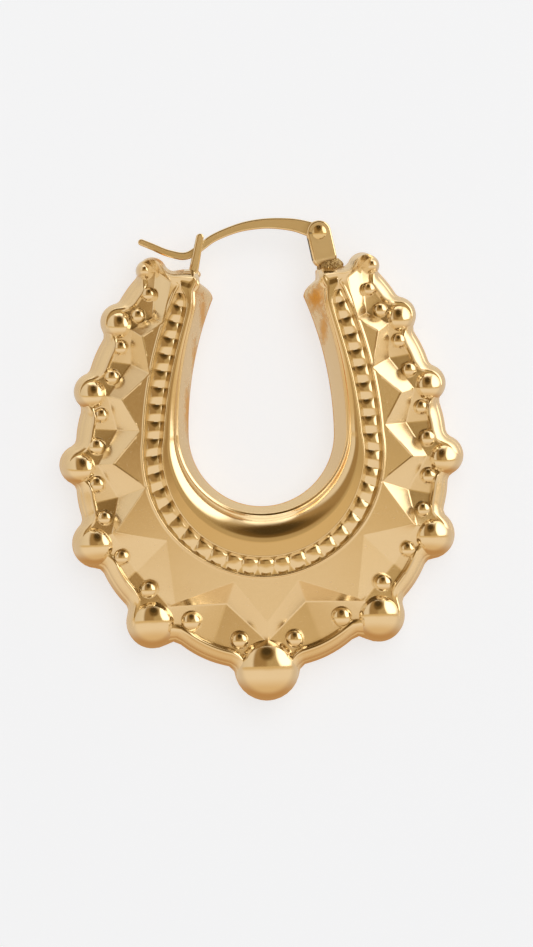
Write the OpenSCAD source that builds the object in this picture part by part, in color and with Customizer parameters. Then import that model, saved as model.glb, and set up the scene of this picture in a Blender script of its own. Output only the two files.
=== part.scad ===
// Creole earring: a hoop pressed from two like halves of thin gold, with a hinged ear wire.
// It lies on its back: +X to the right, +Y towards the ear wire, +Z out of the front face.
// All sizes are in millimetres.

/* [Hoop] */
// Thickness of the hoop over the rolled inner edges of both halves
hoop_t = 7; // [6.4:0.1:8]
// Radius of the round inner opening at the seam
inner_r = 7.25; // [7:0.05:7.5]
// Radius of the long curve of each arm's inner edge at the seam
arm_r = 35; // [34:0.5:36]
// Height of the seam's curve centre above the middle of the earring
curve_y = 2.65; // [2.5:0.05:2.8]
// Depth of the grain channel's floor below the crest of the rolled edge
channel_depth = 0.9; // [0.6:0.05:1.2]
// Depth of the star's points below the crest of the rolled edge
star_depth = 0.9; // [0.7:0.05:1.2]
// Depth of the recesses between the beads below the crest of the rolled edge
recess_depth = 1.75; // [1.4:0.05:2]

/* [Hinge] */
// Height of the rivet's axis above the middle of the earring
rivet_y = 22.56; // [22.3:0.02:22.8]
// Distance of the rivet's axis from the middle of the earring
rivet_x = 6.2; // [6:0.05:6.4]
// Diameter of the rivet's pin
pin_d = 0.8; // [0.7:0.05:0.9]
// Diameter of the rivet's domed heads
head_d = 1.4; // [1.3:0.05:1.6]
// Clearance round the pin, in the cheeks and in the wire's eye
pin_gap = 0.05; // [0.04:0.01:0.08]
// Width of the hinge's cheeks
cheek_w = 2.4; // [2.2:0.1:2.6]
// Thickness of each cheek
cheek_t = 0.5; // [0.4:0.05:0.6]
// Lean of the hinge towards the middle, in degrees
hinge_lean = 11.5; // [8:0.5:14]

/* [Ear wire] */
// Thickness of the ear wire from front to back
wire_t = 0.9; // [0.8:0.05:1]
// Gap on each side of the wire's eye, between the cheeks
eye_gap = 0.1; // [0.08:0.01:0.15]

/* [Catch] */
// Width of the catch seen from the front
catch_w = 0.65; // [0.6:0.05:0.8]
// Gap between the two prongs of the catch
catch_gap = 1.3; // [1.2:0.05:1.5]
// Thickness of each prong
prong_t = 0.4; // [0.35:0.05:0.5]
// Lean of the catch towards the middle, in degrees
catch_lean = 12; // [9:0.5:15]

/* [Hidden] */

half_t = hoop_t / 2;
// Moves the earring so that its middle in Y is at the origin
middle_y = 0.1;
curve_c = [0, curve_y];
arm_c = [inner_r - arm_r, curve_y];
// Steps between a bead and the bay beside it
steps = 2;
// Half the width of the flat solder seam between the two halves
seam_half = 0.05;

// The pressed beads of one half, from the bottom up to the arm's end.
// Columns: dome x, dome y, dome radius, crown height over the seam, lobe x, lobe y, lobe radius,
// star point x, star point y
beads = [
    [0.0, -20.5, 2.4, 3.4, 0.0, -20.9, 3.3, 0.0, -16.1],
    [11.4, -15.2, 1.9, 3.2, 11.3, -15.9, 2.7, 9.1, -13.9],
    [16.6, -7.3, 1.5, 3.1, 16.7, -7.9, 2.5, 14.9, -6.7],
    [17.8, 0.0, 1.4, 3.1, 18.2, 0.0, 2.05, 15.0, 0.1],
    [16.6, 7.2, 1.4, 3.1, 16.75, 7.3, 1.85, 14.0, 6.5],
    [13.9, 14.15, 1.35, 3.1, 13.9, 14.1, 1.9, 11.8, 12.7],
    [10.6, 19.1, 1.2, 3.1, 10.5, 19.0, 1.5, 9.4, 18.9]
];

// The bays between the beads, from the bottom up.
// Columns: star corner x, y, recess x, y, rim x, y, outer seam x, y
bays = [
    [3.24, -11.9, 3.97, -14.2, 5.5, -18.3, 6.0, -19.9],
    [9.8, -7.6, 12.0, -9.9, 13.8, -11.6, 15.1, -12.7],
    [11.8, -2.3, 14.5, -3.3, 16.9, -3.8, 18.4, -4.1],
    [12.24, 3.34, 14.46, 3.4, 16.8, 3.5, 18.3, 3.9],
    [11.1, 9.0, 12.9, 9.9, 15.0, 10.2, 16.5, 10.6],
    [9.1, 14.7, 10.5, 14.8, 12.2, 16.1, 13.3, 17.0]
];

// Along the inner edge, by the angle from straight down:
// distance from the seam to the middle of the grain channel
channel_mid = [[0, 6.1], [22, 5.6], [44, 5.1], [68, 3.9], [87, 3.4], [97, 3.05], [104, 2.95],
    [109, 2.65], [114, 2.6]];
// Half the width of the grain channel
channel_half = [[0, 1.02], [104, 1.0], [109, 0.85], [114, 0.2]];
// Width that the drafted inner wall takes up
wall_width = [[0, 0.75], [68, 0.75], [87, 0.85], [97, 1.05], [104, 1.1], [114, 1.0]];
// Share of the channel's depth that is left where it closes at the arm's end
channel_share = [[0, 1], [108, 1], [112, 0.15]];
// Height of the ridge of grains over the channel's floor
grain_ridge = 0.45;
// Depth of the line that borders the channel, below the crest of the rolled edge
border_depth = 0.5;

function unit(v) = v / norm(v);
function dome(b) = [b[0], b[1]];
function lobe(b) = [b[4], b[5]];
function star_point(b) = [b[7], b[8]];

// A station is the four points that a section passes through outside the channel:
// the star's edge, the foot of its bevel, the rim and the outer seam, with their heights.
function bead_station(b) =
    let (out = unit(dome(b) - star_point(b)))
    [[b[7], b[8], half_t - star_depth],
     concat(dome(b) - b[2] * out, [half_t - recess_depth + 0.4]),
     concat(dome(b), [2]),
     concat(lobe(b) + 0.3 * b[6] * out, [seam_half])];
function bay_station(b) =
    [[b[0], b[1], half_t - 0.5],
     [b[2], b[3], half_t - recess_depth],
     [b[4], b[5], 2],
     [b[6], b[7], seam_half]];
// The last full section, at the inner corner of the arm's end
corner_station = [[9.0, 18.5, half_t - 0.15], [9.7, 18.5, half_t - 0.6], [11.0, 18.5, 2],
    [12.05, 18.5, seam_half]];

anchors = concat(
    [for (i = [0:5]) each [bead_station(beads[i]), bay_station(bays[i])]],
    [corner_station]);
function between(a, b, t) = a + (b - a) * t;
stations = concat(
    [for (i = [0:len(anchors) - 2], k = [0:steps - 1]) between(anchors[i], anchors[i + 1], k / steps)],
    [corner_station]);

// The inner seam is a half circle below, and a long arc along each arm
function on_arm(p) = p.y > curve_y;
function ray(p) = unit(p - (on_arm(p) ? arm_c : curve_c));
function inner_seam(p) = on_arm(p) ? arm_c + arm_r * ray(p) : curve_c + inner_r * ray(p);
function ray_angle(p) =
    on_arm(p) ? 90 + atan2(p.y - arm_c.y, p.x - arm_c.x) : atan2(p.x, curve_y - p.y);

// The front half of a section, from the inner seam out to the outer seam
function section(s) =
    let (p = [s[0].x, s[0].y],
         r = ray(p),
         seam = inner_seam(p),
         angle = ray_angle(p),
         wall = lookup(angle, wall_width),
         mid = lookup(angle, channel_mid),
         half = lookup(angle, channel_half),
         share = lookup(angle, channel_share),
         roll = mid - half - 0.15 - wall,
         profile = [
             [0, seam_half],
             [0.7 * wall, 0.6 * half_t],
             [wall, 0.82 * half_t],
             [wall + 0.22 * roll, 0.96 * half_t],
             [wall + 0.5 * roll, half_t],
             [wall + 0.78 * roll, half_t - 0.2 * share],
             [mid - half, half_t - channel_depth * share],
             [mid, half_t - (channel_depth - grain_ridge) * share],
             [mid + half, half_t - (channel_depth - 0.1) * share],
             [mid + half + 0.2, half_t - border_depth * share]])
    concat([for (q = profile) concat(seam + q[0] * r, [q[1]])], s);

// The arm's end: a flared front rim, level as far as the star's edge and then falling to the
// last bead, and the seam outside it
columns = 14;
star_column = 10;
rim_y = 18.85;
function end_rim(j) =
    let (past = j - star_column)
    j == 0 ? [5.2, 17.95, seam_half] :
    j == columns - 1 ? [11.8, 19.3, seam_half] :
    j < star_column ? [6.7 + 0.28 * (j - 1), rim_y, half_t] :
    [9.3 + 0.5 * past, rim_y + 0.1 + 0.1 * past, half_t - 0.1 - 0.5 * past];
function end_seam(j) = [6.2 + 0.37 * j, 19.5, seam_half];

right_half = concat(
    [for (s = stations) section(s)],
    [[for (j = [0:columns - 1]) end_rim(j)]],
    [[for (j = [0:columns - 1]) end_seam(j)]]);
function mirror_x(sec) = [for (p = sec) [-p.x, p.y, p.z]];
whole = concat(
    [for (k = [len(right_half) - 1:-1:1]) mirror_x(right_half[k])],
    right_half);

// A ring runs over the front from the inner to the outer seam, and home over the back
function ring(sec) = concat(
    sec,
    [for (j = [columns - 1:-1:0]) [sec[j].x, sec[j].y, -sec[j].z]]);

// The pressed body without its beads, as one closed skin over both halves
module pressed_body() {
    count = 2 * columns;
    rings = len(whole);
    points = [for (sec = whole) each ring(sec)];
    sides = [for (k = [0:rings - 2], j = [0:count - 1])
        let (a = k * count + j,
             b = k * count + (j + 1) % count,
             c = b + count,
             d = a + count)
        each [[a, c, b], [a, d, c]]];
    first_end = [for (j = [0:columns - 2])
        let (a = j, b = j + 1, c = count - 2 - j, d = count - 1 - j)
        each [[a, b, c], [a, c, d]]];
    last_start = (rings - 1) * count;
    last_end = [for (f = first_end) [f[0] + last_start, f[2] + last_start, f[1] + last_start]];
    polyhedron(points = points, faces = concat(sides, first_end, last_end));
}

// A pressed bead: a dome on each face, running down to a lobe of the seam between them.
// Each ring is its centre x, y, its radius and its height.
bead_sides = 16;
function bead_ring(q) = [for (k = [0:bead_sides - 1])
    [q[0] + q[2] * cos(k * 360 / bead_sides), q[1] + q[2] * sin(k * 360 / bead_sides), q[3]]];
module bead_lobe(b) {
    crown_c = b[3] - b[2];
    front = concat(
        [[b[4], b[5], b[6], seam_half]],
        [for (lat = [8, 36, 60, 80]) [b[0], b[1], b[2] * cos(lat), crown_c + b[2] * sin(lat)]]);
    back = [for (i = [len(front) - 1:-1:0]) [front[i][0], front[i][1], front[i][2], -front[i][3]]];
    rings = concat(back, front);
    top = (len(rings) - 1) * bead_sides;
    walls = [for (i = [0:len(rings) - 2], k = [0:bead_sides - 1])
        let (a = i * bead_sides + k, b = i * bead_sides + (k + 1) % bead_sides)
        each [[a, b + bead_sides, b], [a, a + bead_sides, b + bead_sides]]];
    polyhedron(
        points = [for (q = rings) each bead_ring(q)],
        faces = concat(
            walls,
            [[for (k = [0:bead_sides - 1]) k]],
            [[for (k = [bead_sides - 1:-1:0]) top + k]]));
}

module pressed_hoop() {
    resize([0, 0, hoop_t]) {
        union() {
            pressed_body();
            for (b = beads) {
                bead_lobe(b);
                if (b[0] > 0) mirror([1, 0, 0]) bead_lobe(b);
            }
        }
    }
}

// The hinge stands in a frame of its own: origin at the rivet, leaning towards the middle
module at_hinge() {
    translate([rivet_x, rivet_y, 0]) rotate([0, 0, hinge_lean]) children();
}

cheek_gap = wire_t + 2 * eye_gap;
hinge_t = cheek_gap + 2 * cheek_t;
// Heights in the hinge's frame: its foot, the floor of its slot and the middle of its round top
hinge_foot = -3.5;
slot_floor = -2.4;
hinge_top = 0.25;
hinge_solder_r = 1.3;

// A strip bent into two cheeks, soldered on the end of the right arm
module hinge_bracket() {
    at_hinge() difference() {
        union() {
            translate([0, hinge_top, -hinge_t / 2]) cylinder(d = cheek_w, h = hinge_t, $fn = 48);
            translate([-cheek_w / 2, hinge_foot, -hinge_t / 2])
                cube([cheek_w, hinge_top - hinge_foot, hinge_t]);
        }
        translate([-cheek_w, slot_floor, -cheek_gap / 2]) cube([2 * cheek_w, 5, cheek_gap]);
        translate([0, 0, -hinge_t]) cylinder(d = pin_d + 2 * pin_gap, h = 2 * hinge_t, $fn = 32);
    }
    translate([6.95, 19.15, 0]) sphere(r = hinge_solder_r, $fn = 32);
}

// The catch's frame has its origin where the wire crosses it
catch_pos = [-5.9, 21.2, 0];
catch_t = catch_gap + 2 * prong_t;
// Heights in that frame: its foot, the floor of its slot and the middle of its round top
catch_foot = -2.6;
catch_floor = -1.1;
catch_top = 1.55;
catch_solder_r = 0.95;

// Two prongs that the wire drops between, soldered on the end of the left arm
module catch() {
    translate(catch_pos) rotate([0, 0, -catch_lean]) difference() {
        union() {
            translate([0, catch_top, -catch_t / 2]) cylinder(d = catch_w, h = catch_t, $fn = 32);
            translate([-catch_w / 2, catch_foot, -catch_t / 2])
                cube([catch_w, catch_top - catch_foot, catch_t]);
        }
        translate([-catch_w, catch_floor, -catch_gap / 2]) cube([2 * catch_w, 4, catch_gap]);
    }
    translate([-6.7, 19.1, 0]) sphere(r = catch_solder_r, $fn = 32);
}

module creole_hoop() {
    color("#d9b06a") translate([0, middle_y, half_t]) union() {
        pressed_hoop();
        hinge_bracket();
        catch();
    }
}

// The pin through both cheeks and the wire's eye, with a domed head at each end
module hinge_rivet() {
    head_h = 0.32;
    rim_h = 0.08;
    head_z = hinge_t / 2 + 0.02;
    cap_r = (pow(head_d / 2, 2) + pow(head_h - rim_h, 2)) / (2 * (head_h - rim_h));
    color("#d2a860") translate([0, middle_y, half_t]) at_hinge() rotate_extrude($fn = 48)
        intersection() {
            union() {
                translate([0, -head_z]) square([pin_d / 2, 2 * head_z]);
                for (side = [-1, 1]) {
                    translate([0, side > 0 ? head_z : -head_z - rim_h]) square([head_d / 2, rim_h]);
                    translate([0, side * (head_z + rim_h)]) intersection() {
                        translate([0, side * (head_h - rim_h - cap_r)]) circle(r = cap_r, $fn = 96);
                        translate([0, side > 0 ? 0 : -head_h]) square([head_d, head_h]);
                    }
                }
            }
            translate([0, -hinge_t]) square([head_d, 2 * hinge_t]);
        }
}

// The wire's middle line from its tip to the rivet, with the width seen from the front
wire_line = [
    [-11.5, 22.0, 0.65],
    [-9.6, 21.15, 0.7],
    [-7.2, 20.55, 0.75],
    [-5.9, 21.2, 0.75],
    [-4.5, 22.05, 0.78],
    [-3.1, 22.8, 0.8],
    [-0.6, 23.5, 0.95],
    [1.4, 23.6, 1.05],
    [3.6, 23.4, 1.25],
    [5.2, 22.95, 1.45],
    [6.2, 22.56, 1.6]
];
wire_steps = 5;
// Outer diameter of the eye round the rivet
eye_d = 2;
function curve_at(p0, p1, p2, p3, t) = 0.5 * (2 * p1 + (p2 - p0) * t
    + (2 * p0 - 5 * p1 + 4 * p2 - p3) * t * t + (3 * p1 - p0 - 3 * p2 + p3) * t * t * t);
function clamped(list, i) = list[max(0, min(len(list) - 1, i))];
wire_path = concat(
    [for (i = [0:len(wire_line) - 2], k = [0:wire_steps - 1])
        curve_at(clamped(wire_line, i - 1), wire_line[i], wire_line[i + 1],
            clamped(wire_line, i + 2), k / wire_steps)],
    [wire_line[len(wire_line) - 1]]);
function side_point(i, side) =
    let (along = clamped(wire_path, i + 1) - clamped(wire_path, i - 1),
         across = unit([-along.y, along.x]))
    [wire_path[i].x, wire_path[i].y] + side * wire_path[i].z / 2 * across;

// The flat-fronted wire, with its round eye between the cheeks of the hinge
module ear_wire() {
    last = len(wire_path) - 1;
    color("#dcb570") translate([0, middle_y, half_t]) difference() {
        translate([0, 0, -wire_t / 2]) union() {
            linear_extrude(wire_t) polygon(concat(
                [for (i = [0:last]) side_point(i, 1)],
                [for (i = [last:-1:0]) side_point(i, -1)]));
            translate([wire_line[0].x, wire_line[0].y, 0])
                cylinder(d = wire_line[0].z, h = wire_t, $fn = 24);
            translate([rivet_x, rivet_y, 0]) cylinder(d = eye_d, h = wire_t, $fn = 48);
        }
        translate([rivet_x, rivet_y, -wire_t]) cylinder(d = pin_d + 2 * pin_gap, h = 2 * wire_t, $fn = 32);
    }
}

creole_hoop();
hinge_rivet();
ear_wire();
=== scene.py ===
from math import atan2, cos, degrees, log, pi, radians, sin, sqrt

import bpy
import numpy as np
from mathutils import Matrix, Vector


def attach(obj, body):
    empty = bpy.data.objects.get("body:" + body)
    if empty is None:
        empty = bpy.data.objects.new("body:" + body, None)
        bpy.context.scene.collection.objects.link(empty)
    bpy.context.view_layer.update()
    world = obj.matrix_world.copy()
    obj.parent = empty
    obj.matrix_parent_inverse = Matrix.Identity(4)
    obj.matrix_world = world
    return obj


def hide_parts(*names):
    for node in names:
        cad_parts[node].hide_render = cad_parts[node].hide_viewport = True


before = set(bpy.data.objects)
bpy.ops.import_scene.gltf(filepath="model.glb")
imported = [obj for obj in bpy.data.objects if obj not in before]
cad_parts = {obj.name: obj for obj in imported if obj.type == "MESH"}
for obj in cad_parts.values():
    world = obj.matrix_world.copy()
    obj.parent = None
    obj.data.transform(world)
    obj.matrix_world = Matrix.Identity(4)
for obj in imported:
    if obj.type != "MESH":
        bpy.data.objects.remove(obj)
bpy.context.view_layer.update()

bpy.ops.object.select_all(action="DESELECT")

# The camera. The earring lies on its back, and the camera looks down on its face from a little to
# the left of it and a little towards its ear wire, as the photographer stood to the standing
# earring. The earring's +Y is up in the picture, leaning slightly to the left.
mm = 0.001
picture_height = 947
pixels_per_mm = 10
seam_height = 3.5 * mm
middle_y = 0.1 * mm
camera_distance = 350 * mm
sensor = 36.0
camera_turn = radians(-3)
camera_lift = radians(3)
picture_roll = radians(1.4)
aim_right = 0.45 * mm
aim_down = 1.35 * mm

towards_camera = Vector((sin(camera_turn), sin(camera_lift), 1)).normalized()
picture_right = Vector((sin(picture_roll), cos(picture_roll), 0)).cross(towards_camera).normalized()
picture_up = towards_camera.cross(picture_right)
aim = Vector((0, middle_y, seam_height)) + aim_right * picture_right - aim_down * picture_up
bpy.ops.object.camera_add()
camera = bpy.context.object
camera.name = "photo_camera"
camera.matrix_world = (Matrix.Translation(aim + camera_distance * towards_camera)
                       @ Matrix((picture_right, picture_up, towards_camera)).transposed().to_4x4())
camera.data.sensor_width = sensor
camera.data.lens = sensor * camera_distance * pixels_per_mm / (picture_height * mm)
camera.data.clip_start = 0.01
bpy.context.scene.camera = camera

# The light tent. White walls stand round a pale table, and the front is left open for the camera,
# so the gold mirrors a dark front with a bright lamp on its right. Each part of the tent is given
# by where a polished ball would show it: across and up from the ball's middle, in radii.
tent = bpy.data.worlds.new("light_tent")
tent.use_nodes = True
tent.cycles.sampling_method = "NONE"
bpy.context.scene.world = tent


def add_node(tree, kind, inputs=None, **settings):
    """Adds a node to a tree, sets its properties, and sets or links its inputs."""
    node = tree.nodes.new(kind)
    for name, value in settings.items():
        setattr(node, name, value)
    for socket, value in (inputs or {}).items():
        if isinstance(value, bpy.types.NodeSocket):
            tree.links.new(value, node.inputs[socket])
        else:
            node.inputs[socket].default_value = value
    return node


def linear(sheet):
    """Turns an sRGB hex value into linear colour."""
    parts = [int(sheet[i:i + 2], 16) / 255 for i in (1, 3, 5)]
    return [c / 12.92 if c < 0.04045 else ((c + 0.055) / 1.055) ** 2.4 for c in parts] + [1]


# Columns: across, up, half width, half height, soft edge, colour, brightness
tent_parts = [
    (-0.95, 0.15, 0.35, 0.70, 0.60, "#e0d9cc", 1.0),
    (-0.20, 0.12, 0.25, 0.56, 0.18, "#a48a61", 1.0),
    (0.18, 0.10, 0.20, 0.50, 0.25, "#bda981", 1.0),
    (0.00, 0.81, 0.60, 0.17, 0.25, "#fffdf6", 1.7),
    (0.56, 0.35, 0.26, 0.46, 0.20, "#fffdf6", 2.2),
    (-0.01, 0.40, 0.23, 0.27, 0.30, "#705934", 1.0),
    (-0.02, 0.46, 0.16, 0.14, 0.40, "#4c3e25", 1.0),
]
wall_colour = "#ece5da"
table_edge = -0.055
table_edge_blur = 0.01
table_colour = "#d9c297"
# The table's last band, under and behind the hoop, is painted shade: golden brown where the hoop shades the
# table and its gold warms it.
# Bands of the table, from its far edge towards the viewer. Columns: starts, ends, colour
table_bands = [(-0.09, -0.20, "#f0e7da"), (-0.35, -0.68, "#e0c9a6"), (-0.70, -0.95, "#bf9a6c")]
rim_starts = 0.69
rim_ends = 0.85
rim_colour = "#dbd2c8"
# The lower rim band is painted shade: golden brown table beside and under the hoop, in its shade and warmed
# by its gold.
# Bands of the backdrop round the rim of the picture. Columns: starts, ends, colour
rim_bands = [(-0.35, -0.80, "#c19c70"), (0.30, 0.80, "#e4ddd0")]
room_grey = "#a0a0a2"
backdrop_grey = "#f1f1f3"
tree = tent.node_tree
tree.nodes.clear()

# A direction shows on the ball at its own x and y, divided by the root of 2 + 2z.
direction = add_node(tree, "ShaderNodeTexCoord").outputs["Generated"]
axes = add_node(tree, "ShaderNodeSeparateXYZ", {0: direction})
depth = add_node(tree, "ShaderNodeMath", {0: axes.outputs[2], 1: 2.0, 2: 2.0001}, operation="MULTIPLY_ADD")
depth = add_node(tree, "ShaderNodeMath", {0: depth.outputs[0], 1: -0.5}, operation="POWER")
flat = add_node(tree, "ShaderNodeVectorMath", {0: direction, 1: (1, 1, 0)}, operation="MULTIPLY")
ball = add_node(tree, "ShaderNodeVectorMath", {0: flat.outputs[0], "Scale": depth.outputs[0]},
                operation="SCALE").outputs[0]
height = add_node(tree, "ShaderNodeSeparateXYZ", {0: ball}).outputs[1]


def banded(start, bands):
    """A colour that changes to each band's colour between two heights."""
    colour = linear(start)
    for starts, ends, next_colour in bands:
        share = add_node(tree, "ShaderNodeMapRange", {"Value": height, "From Min": starts, "From Max": ends},
                         interpolation_type="SMOOTHSTEP").outputs[0]
        colour = add_node(tree, "ShaderNodeMix", {0: share, 6: colour, 7: linear(next_colour)},
                          data_type="RGBA").outputs[2]
    return colour


light = linear(wall_colour)
for across, up, half_w, half_h, soft, colour, brightness in tent_parts:
    away = add_node(tree, "ShaderNodeVectorMath", {0: ball, 1: (across, up, 0)}, operation="SUBTRACT")
    away = add_node(tree, "ShaderNodeVectorMath", {0: away.outputs[0], 1: (half_w, half_h, 1)},
                    operation="DIVIDE")
    away = add_node(tree, "ShaderNodeVectorMath", {0: away.outputs[0]}, operation="LENGTH")
    inside = add_node(tree, "ShaderNodeMapRange",
                      {"Value": away.outputs["Value"], "From Min": 1 + soft, "From Max": 1 - soft},
                      interpolation_type="SMOOTHSTEP").outputs[0]
    glow = [brightness * c for c in linear(colour)]
    light = add_node(tree, "ShaderNodeMix", {0: inside, 6: light, 7: glow}, data_type="RGBA").outputs[2]
above = add_node(tree, "ShaderNodeMapRange",
                 {"Value": height, "From Min": table_edge - table_edge_blur,
                  "From Max": table_edge + table_edge_blur},
                 interpolation_type="SMOOTHSTEP").outputs[0]
light = add_node(tree, "ShaderNodeMix", {0: above, 6: banded(table_colour, table_bands), 7: light},
                 data_type="RGBA").outputs[2]
away = add_node(tree, "ShaderNodeVectorMath", {0: ball}, operation="LENGTH")
rim = add_node(tree, "ShaderNodeMapRange",
               {"Value": away.outputs["Value"], "From Min": rim_starts, "From Max": rim_ends},
               interpolation_type="SMOOTHSTEP").outputs[0]
light = add_node(tree, "ShaderNodeMix", {0: rim, 6: light, 7: banded(rim_colour, rim_bands)},
                 data_type="RGBA").outputs[2]

# Only mirrored rays see the tent. Past the table's edge the eye sees a pale backdrop, and matt
# surfaces are lit by an even grey.
ray = add_node(tree, "ShaderNodeLightPath").outputs
plain = add_node(tree, "ShaderNodeMix",
                 {0: ray["Is Camera Ray"], 6: linear(room_grey), 7: linear(backdrop_grey)},
                 data_type="RGBA").outputs[2]
light = add_node(tree, "ShaderNodeMix", {0: ray["Is Glossy Ray"], 6: plain, 7: light},
                 data_type="RGBA").outputs[2]
background = add_node(tree, "ShaderNodeBackground", {"Color": light})
add_node(tree, "ShaderNodeOutputWorld", {"Surface": background.outputs[0]})
bpy.context.scene.view_settings.view_transform = "Standard"

# The table. A sheet of opal acrylic lit from below, which leaves only faint shadows, and a soft
# lamp above that only it sees. The gold sees the painted tent in its place.
bpy.ops.mesh.primitive_plane_add(size=3)
floor = bpy.context.object
floor.name = "opal_light_table"
opal = bpy.data.materials.new("opal_acrylic")
opal.use_nodes = True
shader = opal.node_tree.nodes["Principled BSDF"]
shader.inputs["Base Color"].default_value = linear("#bcbcbc")
shader.inputs["Emission Color"].default_value = linear("#fbfbfb")
shader.inputs["Emission Strength"].default_value = 0.63
shader.inputs["Roughness"].default_value = 0.9
shader.inputs["Specular IOR Level"].default_value = 0.1
floor.data.materials.append(opal)
floor.visible_glossy = False

bpy.ops.object.light_add(type="AREA", location=(0.15, 0.3, 0.9))
lamp = bpy.context.object
lamp.name = "soft_lamp"
lamp.data.size = 0.9
lamp.data.energy = 2.9
lamp.visible_glossy = False
lamp.visible_camera = False
lamp.matrix_world = (Matrix.Translation(lamp.location)
                     @ lamp.location.to_track_quat("Z", "Y").to_matrix().to_4x4())

# The gold. Pressed 9 carat yellow gold sheet, tumbled and buffed to a mirror, so it shows the
# room with only a faint haze. Fine swirls from the buffing wheel and a slight ripple of the thin
# sheet keep it from looking like glass. Where a seam runs, redder solder stands in a rough line.
gold_tones = ("#f5dbb0", "#f1d6a8")
# Gold that shows mirrored in other gold gets this paler tone and more haze. This is a painted reflection
# colour, not the metal's own.
gold_in_gold = "#f6ecd6"
gold_in_gold_haze = 0.25
solder_colour = "#e9ab4c"
solder_haze = 0.4
tone_mm = 4
wave_mm = 1.6
crumb_mm = 0.5
# Solder that ran over the arms' ends and down their inner walls.
# Columns: x, y, half width, half height, strength
solder_patches = [
    (5.6, 16.0, 0.9, 1.5, 1.0),
    (-9.6, 20.2, 1.3, 0.6, 0.9),
    (-7.6, 19.3, 1.5, 0.4, 0.9),
    (-5.55, 14.6, 0.4, 2.2, 0.8),
    (-6.45, 10.0, 0.4, 2.8, 0.8),
    (-7.3, 5.0, 0.4, 3.2, 0.9),
    (6.35, 13.0, 0.4, 2.2, 0.8),
]


def buffed_gold(name, tones, roughness, ripple_mm, swirl_mm=0.35, seam_mm=0, patches=()):
    """Polished gold with two close tones. A seam width gives it solder along the seam and in patches."""
    gold = bpy.data.materials.new(name)
    gold.use_nodes = True
    tree = gold.node_tree
    shader = tree.nodes["Principled BSDF"]
    shader.inputs["Metallic"].default_value = 1
    place = add_node(tree, "ShaderNodeTexCoord").outputs["Object"]
    clouds = add_node(tree, "ShaderNodeTexNoise", {"Vector": place, "Scale": 1 / (tone_mm * mm), "Detail": 3})
    colours = add_node(tree, "ShaderNodeMix",
                       {0: clouds.outputs[0], 6: linear(tones[0]), 7: linear(tones[1])},
                       data_type="RGBA").outputs[2]
    # Rays mirrored off other gold see the painted paler reflection tone.
    again = add_node(tree, "ShaderNodeLightPath").outputs["Is Glossy Ray"]
    colours = add_node(tree, "ShaderNodeMix", {0: again, 6: colours, 7: linear(gold_in_gold)},
                       data_type="RGBA").outputs[2]
    # Real swirls are too fine to show, so these are drawn coarser.
    swirls = add_node(tree, "ShaderNodeTexNoise",
                      {"Vector": place, "Scale": 1 / (swirl_mm * mm), "Detail": 5, "Roughness": 0.65})
    haze = add_node(tree, "ShaderNodeMapRange",
                    {"Value": swirls.outputs[0], "To Min": 0.7 * roughness,
                     "To Max": 1.35 * roughness}).outputs[0]
    waves = add_node(tree, "ShaderNodeTexNoise", {"Vector": place, "Scale": 1 / (wave_mm * mm), "Detail": 2})
    bump = add_node(tree, "ShaderNodeBump",
                    {"Height": waves.outputs[0], "Strength": 1.0, "Distance": ripple_mm * mm}).outputs[0]
    if seam_mm:
        height = add_node(tree, "ShaderNodeSeparateXYZ", {0: place}).outputs[2]
        off = add_node(tree, "ShaderNodeMath", {0: height, 1: seam_height}, operation="SUBTRACT")
        off = add_node(tree, "ShaderNodeMath", {0: off.outputs[0]}, operation="ABSOLUTE")
        crumbs = add_node(tree, "ShaderNodeTexNoise",
                          {"Vector": place, "Scale": 1 / (crumb_mm * mm), "Detail": 6}).outputs[0]
        reach = add_node(tree, "ShaderNodeMath", {0: crumbs, 1: 2 * seam_mm * mm}, operation="MULTIPLY")
        solder = add_node(tree, "ShaderNodeMapRange",
                          {"Value": off.outputs[0], "From Min": reach.outputs[0],
                           "From Max": 0.25 * seam_mm * mm},
                          interpolation_type="SMOOTHSTEP").outputs[0]
        for x, y, across, up, most in patches:
            off = add_node(tree, "ShaderNodeVectorMath", {0: place, 1: (x * mm, y * mm + middle_y, 0)},
                           operation="SUBTRACT")
            off = add_node(tree, "ShaderNodeVectorMath", {0: off.outputs[0], 1: (across * mm, up * mm, 1)},
                           operation="DIVIDE")
            off = add_node(tree, "ShaderNodeVectorMath", {0: off.outputs[0]}, operation="LENGTH")
            edge = add_node(tree, "ShaderNodeMath", {0: crumbs, 1: 2.4}, operation="MULTIPLY")
            patch = add_node(tree, "ShaderNodeMapRange",
                             {"Value": off.outputs["Value"], "From Min": edge.outputs[0],
                              "From Max": 0.1, "To Max": most},
                             interpolation_type="SMOOTHSTEP")
            solder = add_node(tree, "ShaderNodeMath", {0: solder, 1: patch.outputs[0]},
                              operation="MAXIMUM").outputs[0]
        colours = add_node(tree, "ShaderNodeMix", {0: solder, 6: colours, 7: linear(solder_colour)},
                           data_type="RGBA").outputs[2]
        haze = add_node(tree, "ShaderNodeMix", {0: solder, 2: haze, 3: solder_haze}).outputs[0]
        grit = add_node(tree, "ShaderNodeMath", {0: solder, 1: crumbs}, operation="MULTIPLY")
        bump = add_node(tree, "ShaderNodeBump", {"Height": grit.outputs[0], "Strength": 1.0,
                                                 "Distance": 0.12 * mm, "Normal": bump}).outputs[0]
    haze = add_node(tree, "ShaderNodeMix", {0: again, 2: haze, 3: gold_in_gold_haze}).outputs[0]
    tree.links.new(colours, shader.inputs["Base Color"])
    tree.links.new(haze, shader.inputs["Roughness"])
    tree.links.new(bump, shader.inputs["Normal"])
    return gold


pressed_gold = buffed_gold("buffed_yellow_gold", gold_tones, 0.24, 0.005, seam_mm=0.28,
                           patches=solder_patches)
bright_gold = buffed_gold("polished_yellow_gold", gold_tones, 0.12, 0.004)

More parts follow.
